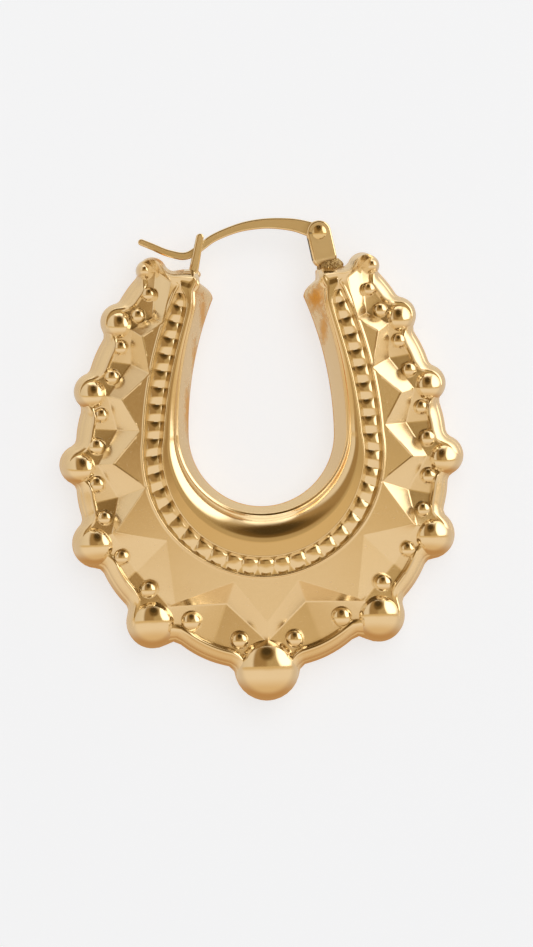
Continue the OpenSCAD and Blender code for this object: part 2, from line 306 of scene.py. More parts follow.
# The hoop's shell. Two thin gold blanks are pressed in one die: a rolled edge round the opening,
# a channel with a row of grains, a flat band with a star cut into it, and recesses between the
# big beads. The halves are soldered rim to rim, so one quarter is made and mirrored both ways.

# Sizes are in mm, and heights are above the seam.
inner_radius = 7.25
arm_radius = 35.0
curve_centre = np.array((0, 2.65))
arm_centre = np.array((inner_radius - arm_radius, 2.65))
crest = 3.5
channel_floor = 2.45
plateau = 2.97
band_slope = 0.13
recess_slope = 0.03
wall_top = 1.8
bay_radius = 11.0
border_w = 0.38
# How far down the scalloped wall its rows lie, from 0 at the rim to 1 at the seam
wall_levels = (0.07, 0.2, 0.36, 0.5, 0.55, 0.62, 0.69, 0.77, 0.88, 0.95, 0.985)

# The beads from the bottom up to the arm's end.
# Columns: dome x, y, dome radius, crown height, lobe x, y, lobe radius, star point x, y
beads = [
    (0.0, -20.5, 2.4, 3.4, 0.0, -20.9, 3.3, 0.0, -16.1),
    (11.4, -15.2, 1.9, 3.2, 11.3, -15.9, 2.7, 9.1, -13.9),
    (16.6, -7.3, 1.5, 3.1, 16.7, -7.9, 2.5, 14.9, -6.7),
    (17.8, 0.0, 1.4, 3.1, 18.2, 0.0, 2.05, 15.0, 0.1),
    (16.6, 7.2, 1.4, 3.1, 16.75, 7.3, 1.85, 14.0, 6.5),
    (13.9, 14.15, 1.35, 3.1, 13.9, 14.1, 1.9, 11.8, 12.7),
    (10.95, 19.35, 0.85, 2.75, 10.5, 19.0, 1.5, 9.3, 18.7),
]
# The bays between the beads.
# Columns: star corner x, y, recess x, y, rim x, y, outer seam x, y, recess height
bays = [
    (3.24, -11.9, 3.97, -14.2, 5.6, -18.7, 6.0, -19.9, 1.3),
    (9.8, -7.6, 12.9, -10.7, 14.05, -11.8, 15.1, -12.7, 1.3),
    (11.8, -2.3, 14.5, -3.3, 17.1, -3.85, 18.4, -4.1, 1.3),
    (12.24, 3.34, 14.46, 3.4, 17.0, 3.55, 18.3, 3.9, 1.3),
    (11.1, 9.0, 12.9, 9.9, 15.2, 10.25, 16.5, 10.6, 1.4),
    (9.7, 14.0, 10.65, 14.5, 12.35, 16.2, 13.3, 17.0, 1.8),
]
# The star's last corner moves in to make room for the arm's end.
last_star_corner = (8.75, 18.0)
# By the angle round the opening, from straight down, the distances from the inner seam
channel_middle = ((0, 14, 28, 42, 56, 70, 82, 89, 96, 103, 109.5, 111.2, 113),
                  (5.85, 5.77, 5.53, 5.2, 4.72, 4.2, 3.83, 3.62, 3.28, 3.08, 3.0, 3.15, 3.68))
channel_half = ((0, 28, 42, 60, 70, 82, 89, 97, 104, 109, 111.5, 112.7),
                (0.92, 0.87, 0.93, 0.95, 0.92, 0.9, 0.92, 0.97, 0.97, 0.9, 0.6, 0.05))
roll_crest = ((0, 22, 44, 68, 87, 97, 104, 109, 111, 113),
              (3.05, 2.95, 2.75, 2.4, 2.2, 1.95, 1.78, 1.8, 2.0, 2.6))
collar = ((0, 44, 68, 87, 97, 104, 109, 111, 113),
          (0.62, 0.75, 0.9, 1.05, 1.15, 1.2, 1.3, 1.5, 2.05))


def unit(vector):
    """The direction of a vector, with length 1."""
    return vector / np.linalg.norm(vector)


def inner_ray(point):
    """The inner seam's point level with a point of the star, the way out from it, and the angle."""
    on_arm = point[1] > curve_centre[1]
    centre = arm_centre if on_arm else curve_centre
    way = unit(point - centre)
    angle = 90 + degrees(atan2(way[1], way[0])) if on_arm else degrees(atan2(way[0], -way[1]))
    return centre + (arm_radius if on_arm else inner_radius) * way, way, angle


def eased(angle, table):
    """A value from a table by angle, with the corners between its rows rounded off."""
    reach = min(8, max(0.4, 0.6 * (112 - angle)))
    return np.mean([np.interp(abs(angle + step), *table) for step in np.linspace(-reach, reach, 9)])


def band_height(point):
    """The flat band falls gently from the channel's border out to the star's edge."""
    seam, way, angle = inner_ray(point)
    border = eased(angle, channel_middle) + eased(angle, channel_half) + border_w
    return plateau - band_slope * max(0, np.linalg.norm(point - seam) - border)


def outer_wall(bead, line_point, line_way, level, share, start_way):
    """A point of the scalloped wall: round a bead's lobe, through a fillet and along the bay.
    The level runs from 0, on top of the shoulder, to 1 at the seam, and the share from the lobe's
    tip to the middle of the bay."""
    dome, lobe = np.array(bead[0:2]), np.array(bead[4:6])
    centre = dome + (lobe - dome) * level
    radius = 0.97 * bead[2] + (bead[6] - 0.02 - 0.97 * bead[2]) * level
    fillet = 0.9 + 1.0 * (1 - level)
    along = unit(line_way) * (1 if np.dot(line_point - centre, line_way) > 0 else -1)
    out = np.array((-along[1], along[0]))
    if np.dot(out, start_way) < 0:
        out = -out
    bay_centre = np.array((np.dot(line_point - centre, along), np.dot(line_point - centre, out) - bay_radius))
    span = np.linalg.norm(bay_centre)
    to_bay = bay_centre / span
    across = ((radius + fillet) ** 2 - (bay_radius + fillet) ** 2 + span ** 2) / (2 * span)
    rise = sqrt(max((radius + fillet) ** 2 - across ** 2, 0))
    hollow = across * to_bay + rise * np.array((-to_bay[1], to_bay[0]))
    start = atan2(np.dot(start_way, along), np.dot(start_way, out))
    turn = atan2(hollow[0], hollow[1])
    bay_turn = atan2(bay_centre[0] - hollow[0], hollow[1] - bay_centre[1])
    lengths = (radius * (turn - start), fillet * (turn + bay_turn), max(bay_radius * bay_turn, 0))
    distance = share * sum(lengths)
    if distance < lengths[0]:
        angle = start + distance / radius
        x, y = radius * sin(angle), radius * cos(angle)
    elif distance < lengths[0] + lengths[1]:
        angle = turn - (distance - lengths[0]) / fillet
        x, y = hollow[0] - fillet * sin(angle), hollow[1] - fillet * cos(angle)
    else:
        angle = (distance - lengths[0] - lengths[1]) / bay_radius - bay_turn
        x, y = bay_centre[0] + bay_radius * sin(angle), bay_centre[1] + bay_radius * cos(angle)
    return centre + x * along + y * out


def wall_beside(bead, bay, chord, share, out):
    """The scalloped wall at one share of the way from a bead to a bay, as a function of the level."""
    rim_point, seam_point = np.array(bay[4:6]), np.array(bay[6:8])
    return lambda level: outer_wall(
        bead, rim_point + (seam_point - rim_point) * level, chord, level, share, out)


def shoulder(level):
    """How high the rounded shoulder stands at a level, from 1 beside the rim to 0 at the seam."""
    crease = 0.05 * max(0, 1 - abs(level - 0.62) / 0.08)
    return max(1 - level ** 1.4, 0) ** (1 / 1.4) - crease


def line_towards(a, b, near, shares, far):
    """Points from a to b: at distances from a, at shares of the way, and at distances from b."""
    length = np.linalg.norm(b[:2] - a[:2])
    places = [min(d, 0.3 * length) / length for d in near]
    places += list(shares)
    places += [1 - min(d, 0.3 * length) / length for d in far]
    return [a + (b - a) * s for s in places]


def cross_section(star, foot, wall, lip):
    """One line of the quarter from the inner seam to the outer one. The star and the foot are
    points with heights, wall(level) gives the scalloped wall, and lip says how far the rim stands
    up."""
    seam, way, angle = inner_ray(star[:2])
    middle = eased(angle, channel_middle)
    half = eased(angle, channel_half)
    top = eased(angle, roll_crest)
    foot_of_roll = eased(angle, collar)
    inner, outer = middle - half, middle + half
    star_reach = np.linalg.norm(star[:2] - seam)
    room = min(1, max(star_reach - outer - 0.03, 0.05) / 0.45)
    deep = min(1, half / 0.8)
    floor_z = plateau - (plateau - channel_floor) * deep
    round_w = top - foot_of_roll - 0.24
    steep, flat = radians(60), radians(14)
    collar_z = crest - round_w * log(cos(flat) / cos(steep)) / (steep - flat) - 0.13
    profile = [(0.02, 0)]
    profile += [(foot_of_roll * s ** 1.15, collar_z * s - 0.03) for s in (0.12, 0.3, 0.5, 0.7, 0.88, 1)]
    profile += [(foot_of_roll + 0.04, collar_z + 0.02), (foot_of_roll + 0.11, collar_z + 0.07),
                (foot_of_roll + 0.18, collar_z + 0.09), (foot_of_roll + 0.24, collar_z + 0.13)]
    for share in np.linspace(0, 1, 10):
        tilt = steep + (flat - steep) * share
        drop = round_w * log(cos(flat) / cos(tilt)) / (steep - flat)
        profile.append((top - round_w * (1 - share), crest - drop))
    fall_end = max(inner - 0.2, top + 0.04)
    edge_z = crest - 0.07 * (fall_end - top)
    profile += [(top + share * (fall_end - top), crest + share * (edge_z - crest))
                for share in (0.3, 0.6, 0.8, 1)]
    profile += [(fall_end + 0.02, edge_z - 0.03), (inner - 0.11, edge_z - 0.02),
                (inner - 0.05, edge_z - 0.05), (inner - 0.01, edge_z - 0.14),
                (inner + 0.02, floor_z + 0.1 * deep), (inner + 0.1, floor_z), (middle, floor_z),
                (outer - 0.1, floor_z), (outer - 0.02, floor_z + 0.12 * deep),
                (outer + 0.03 * room, plateau + 0.06 * deep), (outer + 0.09 * room, plateau + 0.14 * deep),
                (outer + 0.17 * room, plateau + 0.15 * deep), (outer + 0.25 * room, plateau + 0.08 * deep),
                (outer + 0.31 * room, plateau + 0.01 * deep)]
    line = [np.append(seam + reach * way, z) for reach, z in profile]
    band_start = np.append(seam + (outer + border_w * room) * way, plateau)
    line += [band_start]
    line += line_towards(band_start, star, [0.08], [0.5], [0.32, 0.22, 0.13, 0.05])
    edge_rise = np.interp(angle, (55, 80), (0, 0.05))
    line[-2][2] += edge_rise
    line[-1][2] += edge_rise
    line += [star]
    rim = np.append(wall(0), wall_top)
    inward = unit(foot[:2] - rim[:2])
    rim_w = np.interp(rim[1], (-18, -8), (0.7, 0.5))
    rim_inner = rim + rim_w * np.append(inward, 0)
    rim_inner[2] = min(foot[2], wall_top - 0.15) - recess_slope * np.linalg.norm(rim_inner[:2] - foot[:2])
    line += line_towards(star, foot, [0.06, 0.14], [0.5], [0.12])
    line += [foot]
    line += line_towards(foot, rim_inner, [0.12], [0.5], [0.12])
    line += [rim_inner]
    for share, rise in ((0.88, 0.02), (0.66, 0.2), (0.48, 0.3), (0.3, 0.29), (0.12, 0.14)):
        line.append(np.append(rim[:2] + share * rim_w * inward, wall_top + lip * rise))
    for level in wall_levels + (0.998,):
        line.append(np.append(wall(level), wall_top * shoulder(level)))
    line.append(np.append(wall(1), 0))
    return line


# Where the shell's lines lie along each half of a bay
shares = [0, 0.03, 0.09, 0.17, 0.26, 0.35, 0.44, 0.53, 0.62, 0.71, 0.80, 0.88, 0.94, 0.975]
rows = []
for i, bay in enumerate(bays):
    for bead, rising in ((beads[i], True), (beads[i + 1], False)):
        dome = np.array(bead[0:2])
        star_point = np.array(bead[7:9])
        out = unit(dome - star_point)
        if bead is beads[-1]:
            star_point = np.array(last_star_corner)
        bead_star = np.append(star_point, band_height(star_point))
        drop = min(max(0.65 * (np.linalg.norm(dome - star_point) - bead[2]), 0.35), 0.85)
        bead_foot = np.append(dome - bead[2] * out, bead_star[2] - drop)
        bay_star = np.append(bay[0:2], band_height(np.array(bay[0:2])))
        bay_foot = np.append(bay[2:4], bay[8])
        chord = np.array(beads[i + 1][4:6]) - np.array(beads[i][4:6])
        for share in shares:
            part = share if rising else 1 - share
            lip = min(1, max(0, (part - 0.5) / 0.15))
            star = bead_star + (bay_star - bead_star) * part
            star[2] = band_height(star[:2])
            foot = bead_foot + (bay_foot - bead_foot) * part
            rows.append(cross_section(star, foot, wall_beside(bead, bay, chord, part, out), lip))
rows.append(cross_section(bead_star, bead_foot, wall_beside(bead, bay, chord, 0, out), 0))

# The arm's end. The face swells into a cove that rises to a ridge. The ridge falls to the seam and
# runs round the last lobe.
roll_foot_column = 8
collar_column = 12
crest_column = 20
channel_column = 27
star_column = 46
foot_column = 51
lip_column = 55
rim_column = 61
bay_rows = len(rows)
columns = len(rows[0])
cove_start = 15.8
ridge_y = 18.3
end_y = 19.25
end_corner_x = 6.45
end_way = np.array((1.0, 0.0))
ridge_way = np.array((1.0, 0.17))
out_of_end = unit(np.array(beads[-1][0:2]) - np.array(beads[-1][7:9]))


def cove(point):
    """How far the face swells towards the ridge."""
    top = ridge_y + ridge_way[1] * (point[0] - end_corner_x)
    return 0.5 * min(max((point[1] - cove_start) / (top - cove_start), 0), 1) ** 1.7


def end_line(level, line_y, way, column, last_column):
    """A point of the arm's end, from the inner corner at column 0 to the last lobe's tip."""
    if column < crest_column:
        share = column / crest_column
        return np.array((end_corner_x - 0.65 * (1 - share), line_y - 0.5 * (1 - share)))
    share = max(0, 1 - (column - crest_column) / (last_column - crest_column))
    return outer_wall(beads[-1], np.array((end_corner_x, line_y)), way, level, share, out_of_end)


for line in rows:
    for j, p in enumerate(line):
        share = np.interp(j, (collar_column, crest_column, star_column, foot_column), (0, 1, 1, 0))
        p[2] = min(p[2] + share * cove(p), max(crest - 0.02, p[2]))
corner = rows[-1]
ridge = [p.copy() for p in corner]
for j in range(rim_column):
    level = np.interp(j, (star_column, rim_column), (0.45, 0.07))
    ridge[j][:2] = end_line(level, ridge_y, ridge_way, j, rim_column)
    if j >= crest_column:
        ridge[j][2] = np.interp(ridge[j][0], (9.0, 10.2, 11.0, 11.7), (plateau + 0.5, 3.2, 2.65, 1.8))
for s in (0.12, 0.25, 0.4, 0.55, 0.7, 0.83, 0.93):
    line = []
    for j in range(columns):
        p = corner[j] + (ridge[j] - corner[j]) * s
        p[0] -= 1.2 * s * (1 - s) * max(0, 1 - j / crest_column)
        if crest_column < j <= star_column:
            detail = corner[j][2] - plateau - cove(corner[j])
            p[2] = plateau + cove(p) + detail * max(0, 1 - s / 0.6)
        line.append(p)
    rows.append(line)
rows.append(ridge)
for level in wall_levels + (1,):
    line = []
    for j in range(columns):
        seam = end_line(1.0, end_y, end_way, j, columns - 1)
        xy = ridge[j][:2] + (seam - ridge[j][:2]) * level
        line.append(np.append(xy, ridge[j][2] * shoulder(level)))
    rows.append(line)

bpy.ops.mesh.primitive_grid_add(x_subdivisions=columns - 1, y_subdivisions=len(rows) - 1, size=1)
shell = bpy.context.object
shell.name = "hoop_shell"
places = np.array(rows).reshape(-1, 3) * mm
on_middle_line = np.abs(places[:, 0]) < 1e-7
places[on_middle_line, 0] = 0
shell.data.vertices.foreach_set("co", places.ravel())
shell.data.update()
shell.data.materials.append(pressed_gold)
shell.data.materials.append(bright_gold)
# The roll, the rim and the cove stand proud, so the buff brightens them most.
cove_rows = range(bay_rows - 12, bay_rows + 8)
for face in shell.data.polygons:
    row, j = divmod(face.index, columns - 1)
    on_roll = roll_foot_column <= j < channel_column
    on_rim = lip_column <= j < rim_column and row < bay_rows
    on_cove = row in cove_rows and roll_foot_column <= j < foot_column
    face.material_index = int(on_roll or on_rim or on_cove)
for axis in (0, 2):
    twin = shell.modifiers.new("mirror", "MIRROR")
    twin.use_axis = (axis == 0, False, axis == 2)
    twin.merge_threshold = 0.002 * mm
    bpy.ops.object.modifier_apply(modifier=twin.name)
bpy.ops.object.mode_set(mode="EDIT")
bpy.ops.mesh.select_all(action="SELECT")
bpy.ops.mesh.remove_doubles(threshold=0.001 * mm)
bpy.ops.mesh.normals_make_consistent(inside=False)
bpy.ops.object.mode_set(mode="OBJECT")
bpy.ops.object.shade_smooth_by_angle(angle=radians(50))
even = shell.modifiers.new("even", "WEIGHTED_NORMAL")
even.keep_sharp = True
bpy.ops.object.modifier_apply(modifier=even.name)
shell.data.transform(Matrix.Translation((0, middle_y, seam_height)))
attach(shell, "hoop")
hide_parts("creole_hoop")

# The big beads. Each is pressed up out of the same sheet at the tip of a scallop, as a round dome
# that runs down through a soft hollow onto the shoulder. They are turned here, ring by ring.


def turned(x, y, profile, sides, lean=(0, 0)):
    """A closed solid of rings. The profile gives each ring's radius, height and share of the lean."""
    radius, z, share = profile[0]
    bpy.ops.mesh.primitive_circle_add(vertices=sides, radius=radius * mm, fill_type="NGON", location=(
        (x + share * lean[0]) * mm, (y + share * lean[1]) * mm, z * mm))
    bpy.ops.object.mode_set(mode="EDIT")
    bpy.ops.mesh.select_all(action="SELECT")
    for next_radius, next_z, next_share in profile[1:]:
        step = next_share - share
        bpy.ops.mesh.extrude_region_move(TRANSFORM_OT_translate={
            "value": (step * lean[0] * mm, step * lean[1] * mm, (next_z - z) * mm)})
        bpy.ops.transform.resize(value=(next_radius / radius, next_radius / radius, 1), center_override=(
            (x + next_share * lean[0]) * mm, (y + next_share * lean[1]) * mm, next_z * mm))
        radius, z, share = next_radius, next_z, next_share
    bpy.ops.mesh.merge(type="CENTER")
    bpy.ops.mesh.select_all(action="SELECT")
    bpy.ops.mesh.normals_make_consistent(inside=False)
    bpy.ops.object.mode_set(mode="OBJECT")
    bpy.ops.object.transform_apply(location=True, rotation=False, scale=False)
    return bpy.context.object


def ball_profile(radius, crown):
    """Half a slightly flattened ball standing on the seam plane."""
    profile = [(0.9 * radius, -0.3, 1), (radius, 0, 1)]
    for angle in (4, 9, 15, 21, 27, 33, 39, 45, 51, 57, 63, 69, 75, 81, 86.5):
        up = sin(radians(angle))
        profile.append((radius * cos(radians(angle)), crown * up, 1 - up))
    return profile


def joined(pieces, name):
    """Joins the pieces into the first one and names it."""
    bpy.ops.object.select_all(action="DESELECT")
    for piece in pieces:
        piece.select_set(True)
    bpy.context.view_layer.objects.active = pieces[0]
    bpy.ops.object.join()
    whole = bpy.context.object
    whole.name = name
    return whole


def select_only(piece):
    """Selects one piece, for the operators that work on what is selected."""
    bpy.ops.object.select_all(action="DESELECT")
    piece.select_set(True)
    bpy.context.view_layer.objects.active = piece


def mirrored(piece, axis):
    """Adds the piece's mirror image across the middle of the earring, or across its seam plane."""
    select_only(piece)
    twin = piece.modifiers.new("mirror", "MIRROR")
    twin.use_axis = (axis == 0, False, axis == 2)
    twin.use_mirror_merge = False
    bpy.ops.object.modifier_apply(modifier=twin.name)


def finished(piece, material, angle=50, body="hoop", node="creole_hoop"):
    """Shades the piece, gives it its material, moves it to the seam's height and lets it ride. A
    piece that has its materials already comes with None."""
    select_only(piece)
    bpy.ops.object.mode_set(mode="EDIT")
    bpy.ops.mesh.select_all(action="SELECT")
    bpy.ops.mesh.normals_make_consistent(inside=False)
    bpy.ops.object.mode_set(mode="OBJECT")
    bpy.ops.object.shade_smooth_by_angle(angle=radians(angle))
    even = piece.modifiers.new("even", "WEIGHTED_NORMAL")
    even.keep_sharp = True
    bpy.ops.object.modifier_apply(modifier=even.name)
    if material:
        piece.data.materials.clear()
        piece.data.materials.append(material)
    piece.data.transform(Matrix.Translation((0, middle_y, seam_height)))
    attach(piece, body)
    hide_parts(node)


# Columns: middle at the seam x, y, radius, pole x, y, height
balls = [
    (0.0, -20.96, 3.2, 0.0, -20.4, 3.1),
    (11.4, -16.1, 2.48, 11.2, -15.5, 2.8),
    (17.0, -8.05, 2.12, 16.6, -7.85, 2.7),
    (18.38, -0.05, 1.83, 17.85, -0.35, 2.6),
    (16.85, 7.25, 1.76, 16.6, 6.95, 2.6),
    (14.0, 14.1, 1.72, 13.85, 13.75, 2.55),
    (10.9, 19.1, 1.15, 11.3, 19.2, 2.85),
]
domes = [turned(pole_x, pole_y, ball_profile(radius, crown), 64, (x - pole_x, y - pole_y))
         for x, y, radius, pole_x, pole_y, crown in balls]
big_beads = joined(domes[1:], "big_beads")
mirrored(big_beads, 0)
big_beads = joined([big_beads, domes[0]], "big_beads")
mirrored(big_beads, 2)
finished(big_beads, bright_gold)

# The small beads. A pair stands in each recess, one beside each big bead. The ones on the ear
# wire's side of a bay are shallower, because the die was cut less deep there.


def pip_profile(radius, centre_z, floor_z, fillet):
    """A ball standing out of a floor, with a small hollow round its foot."""
    rise = floor_z + fillet - centre_z
    reach = sqrt((radius + fillet) ** 2 - rise ** 2)
    start = atan2(rise, reach)
    profile = [(0.75 * radius, floor_z - 0.8, 0), (reach, floor_z - 0.3, 0)]
    for share in (0.25, 0.5, 0.75):
        angle = radians(90) - share * (radians(90) - start)
        profile.append((reach - fillet * cos(angle), floor_z + fillet - fillet * sin(angle), 0))
    for share in np.linspace(0, 0.97, 12):
        angle = start + share * (radians(90) - start)
        profile.append((radius * cos(angle), centre_z + radius * sin(angle), 0))
    return profile


bead_fillet = 0.05
bead_sink = 0.1
hollow_depth = 0.03
# Columns: x, y, radius, how far the centre stands above the recess before it is sunk
small = [
    (2.75, -17.85, 0.97, 0.15),
    (7.5, -15.8, 1.1, -0.05),
    (11.7, -12.5, 0.93, 0.2),
    (14.25, -9.2, 0.85, 0.0),
    (15.85, -5.25, 0.8, 0.2),
    (16.5, -1.9, 0.9, -0.05),
    (16.45, 1.85, 0.92, 0.15),
    (15.9, 4.95, 0.8, 0.0),
    (14.75, 8.7, 0.84, 0.15),
    (13.8, 11.6, 0.8, 0.05),
    (12.0, 14.7, 0.78, 0.2),
    (10.9, 16.8, 0.74, 0.1),
]
pips = []
for x, y, radius, rise in small:
    over = Vector((x * mm, y * mm + middle_y, 3 * seam_height))
    spot = shell.ray_cast(over, Vector((0, 0, -1)))[1]
    ground = (spot.z - seam_height) / mm
    profile = pip_profile(radius, ground + rise - bead_sink, ground - hollow_depth, bead_fillet)
    pips.append(turned(x, y, profile, 32))
small_beads = joined(pips, "small_beads")
mirrored(small_beads, 0)
mirrored(small_beads, 2)
finished(small_beads, bright_gold)

# The grains. Forty-one little cushions fill the channel side by side, pressed with the sheet. They
# are square along the arms, each a step from the next, and become round domes along the bottom.
grains_a_side = 20
grain_pitch = ((0, 11, 20), (1.56, 1.66, 1.58))
grain_floor = 2.45
cushion_height = 0.36
step_height = 0.22
step_rise = 0.45
dome_foot = 0.26
dome_height = 0.28
round_until = 10
square_from = 60
track_end = 112.4
last_gap = 0.9
side_gap = 0.02
cuts_along = 14
cuts_across = 14

# The line down the middle of the channel: x, y and the way out from the opening
angles = np.linspace(0, track_end, 600)
track = []
for angle in angles:
    turn = radians(angle if angle < 90 else angle - 90)
    way = np.array((sin(turn), -cos(turn))) if angle < 90 else np.array((cos(turn), sin(turn)))
    centre = curve_centre if angle < 90 else arm_centre
    reach = (inner_radius if angle < 90 else arm_radius) + eased(angle, channel_middle)
    track.append(np.concatenate((centre + reach * way, way)))
track = np.array(track)
lengths = np.append(0, np.cumsum(np.linalg.norm(np.diff(track[:, :2], axis=0), axis=1)))
pitches = np.interp(np.arange(grains_a_side + 1), *grain_pitch)
middles = np.append(0, np.cumsum(pitches[:-1]))
middles *= (lengths[-1] - last_gap) / middles[-1]
middles = np.append(middles, 2 * middles[-1] - middles[-2])

half_rows = []
for step in range(int((grains_a_side + 0.5) * cuts_along) + 1):
    grain, share = divmod(step / cuts_along, 1)
    place = middles[int(grain)] + (middles[int(grain) + 1] - middles[int(grain)]) * share
    angle = np.interp(place, lengths, angles)
    x, y, way_x, way_y = (np.interp(place, lengths, track[:, i]) for i in range(4))
    half = eased(angle, channel_half)
    square = np.interp(angle, (round_until, square_from), (0, 1))
    top = np.interp(angle, (round_until, square_from), (-0.4, -0.15))
    along = 1 - abs(1 - 2 * share)
    up = (share + 0.5) % 1
    stepped = up / step_rise if up < step_rise else 1 - ((up - step_rise) / (1 - step_rise)) ** 3
    row = []
    for across in np.sin(np.linspace(-0.5 * pi, 0.5 * pi, cuts_across + 1)):
        off_top = (across - top) / (1 - top if across > top else 1 + top)
        fade = 1 - (0.85 if off_top > 0 else 0.4) * off_top ** 2
        bulge = 1 - 0.5 * off_top ** 2 - 0.1 * abs(off_top) ** 5
        cushion = cushion_height * bulge + step_height * stepped * fade
        dome = dome_foot + dome_height * max(0, 1 - (0.9 * along ** 2 + 0.9 * off_top ** 2) ** 1.5)
        z = grain_floor + min(1, half / 0.7) * (square * cushion + (1 - square) * dome)
        reach = across * (half - side_gap)
        row.append((x + way_x * reach, y + way_y * reach, z))
    half_rows.append(row)
grain_rows = [[(-x, y, z) for x, y, z in row] for row in reversed(half_rows[1:])] + half_rows

bpy.ops.object.select_all(action="DESELECT")
bpy.ops.mesh.primitive_grid_add(x_subdivisions=cuts_across, y_subdivisions=len(grain_rows) - 1, size=1)
grain_row = bpy.context.object
grain_row.name = "grain_row"
grain_row.data.vertices.foreach_set("co", (np.array(grain_rows) * mm).ravel())
bpy.ops.object.mode_set(mode="EDIT")
bpy.ops.mesh.select_all(action="SELECT")
bpy.ops.mesh.extrude_region_move(TRANSFORM_OT_translate={"value": (0, 0, -0.4 * mm)})
bpy.ops.object.mode_set(mode="OBJECT")
mirrored(grain_row, 2)
finished(grain_row, bright_gold, 45)

# The hinge. A strip of gold is bent into a U whose two round-topped cheeks hold the ear wire's eye.
# Its faces are left with a satin bloom from the pickle bath, and its edges are burnished bright.
rivet = np.array((6.2, 22.56))
cheek_w = 2.4
cheek_depth = 2.1
cheek_gap = 1.1
foot_y = -3.5
foot_bend = 0.95
slot_y = -2.4
pin_hole = 0.42
lean = radians(11.5)


def cut_from(piece, tool):
    """Cuts a tool out of the piece and clears the tool away."""
    change = piece.modifiers.new("cut", "BOOLEAN")
    change.operation = "DIFFERENCE"
    change.solver = "EXACT"
    change.object = tool
    select_only(piece)
    bpy.ops.object.modifier_apply(modifier=change.name)
    bpy.data.objects.remove(tool)


def slot_block(foot, height, depth):
    """A block 4 mm wide that fills the slot between two cheeks, from its foot up the Y axis."""
    bpy.ops.object.select_all(action="DESELECT")
    bpy.ops.mesh.primitive_cube_add(size=1, location=(0, (foot + 0.5 * height) * mm, 0),
                                    scale=(4 * mm, height * mm, depth * mm))
    bpy.ops.object.transform_apply(location=True, rotation=False, scale=True)
    return bpy.context.object


def plate(outline, depth):
    """A flat plate from its outline, in mm, as thick on both sides of the seam plane."""
    bpy.ops.object.select_all(action="DESELECT")
    bpy.ops.mesh.primitive_circle_add(vertices=len(outline), radius=1, fill_type="NGON")
    piece = bpy.context.object
    places = np.column_stack((outline, np.full(len(outline), -0.5 * depth))) * mm
    piece.data.vertices.foreach_set("co", places.ravel())
    bpy.ops.object.mode_set(mode="EDIT")
    bpy.ops.mesh.select_all(action="SELECT")
    bpy.ops.mesh.extrude_region_move(TRANSFORM_OT_translate={"value": (0, 0, depth * mm)})
    bpy.ops.mesh.select_all(action="SELECT")
    bpy.ops.mesh.normals_make_consistent(inside=False)
    bpy.ops.object.mode_set(mode="OBJECT")
    return piece


def round_topped(width, top, foot, depth):
    """A strip's blank with a round top and a square foot, standing on the Y axis."""
    radius = 0.5 * width
    arc = [(radius * cos(a), top - radius + radius * sin(a)) for a in np.linspace(0, pi, 33)]
    return plate(arc + [(-radius, foot), (radius, foot)], depth)


def rod(x, y, radius):
    """A rod 3 mm long that lies along the rivet's axis, through both cheeks."""
    bpy.ops.object.select_all(action="DESELECT")
    bpy.ops.mesh.primitive_cylinder_add(vertices=48, radius=radius * mm, depth=3 * mm,
                                        location=(x * mm, y * mm, 0))
    bpy.ops.object.transform_apply(location=True, rotation=False, scale=False)
    return bpy.context.object


def bevelled(piece, width, segments, angle, faces, edges):
    """Rounds the sharp edges, and gives the faces one material and the rounded edges another."""
    select_only(piece)
    piece.data.materials.clear()
    piece.data.materials.append(faces)
    piece.data.materials.append(edges)
    edge = piece.modifiers.new("bevel", "BEVEL")
    edge.material = 1
    edge.use_clamp_overlap = False
    edge.width = width * mm
    edge.segments = segments
    edge.limit_method = "ANGLE"
    edge.angle_limit = radians(angle)
    bpy.ops.object.modifier_apply(modifier=edge.name)


def bevel_edges(piece, chosen, width, segments):
    """Rounds the edges whose two ends both pass a test."""
    bpy.ops.object.mode_set(mode="EDIT")
    bpy.ops.mesh.select_mode(type="EDGE")
    bpy.ops.mesh.select_all(action="DESELECT")
    bpy.ops.object.mode_set(mode="OBJECT")
    for edge in piece.data.edges:
        edge.select = all(chosen(*(piece.data.vertices[i].co / mm)) for i in edge.vertices)
    bpy.ops.object.mode_set(mode="EDIT")
    bpy.ops.mesh.bevel(offset=width * mm, segments=segments, affect="EDGES")
    bpy.ops.mesh.select_mode(type="VERT")
    bpy.ops.object.mode_set(mode="OBJECT")


def placed(piece, x, y, turn):
    """Turns the piece about the origin and moves it to its place."""
    piece.data.transform(Matrix.Translation((x * mm, y * mm, 0)) @ Matrix.Rotation(turn, 4, "Z"))


satin_gold = buffed_gold("satin_yellow_gold", ("#f6dfb2", "#f1d6a4"), 0.42, 0.002, 0.15)
hinge = round_topped(cheek_w, 0.5 * cheek_w, foot_y, cheek_depth)
bevel_edges(hinge, lambda x, y, z: y < foot_y + 0.01, foot_bend, 7)
cut_from(hinge, slot_block(slot_y, 5, cheek_gap))
cut_from(hinge, rod(0, 0, pin_hole))
bevelled(hinge, 0.2, 4, 50, satin_gold, bright_gold)
hinge.name = "hinge_bracket"
placed(hinge, *rivet, lean)
finished(hinge, None, 40)

# The solder at the hinge's foot. It was melted on in chips that didn't flow out, and was never
# polished, so it stands as a rough crust, speckled pale and brown, between the bracket and the arm.
crust_light = "#f3d9a0"
crust_dark = "#8a5f2c"
speck_mm = 0.16


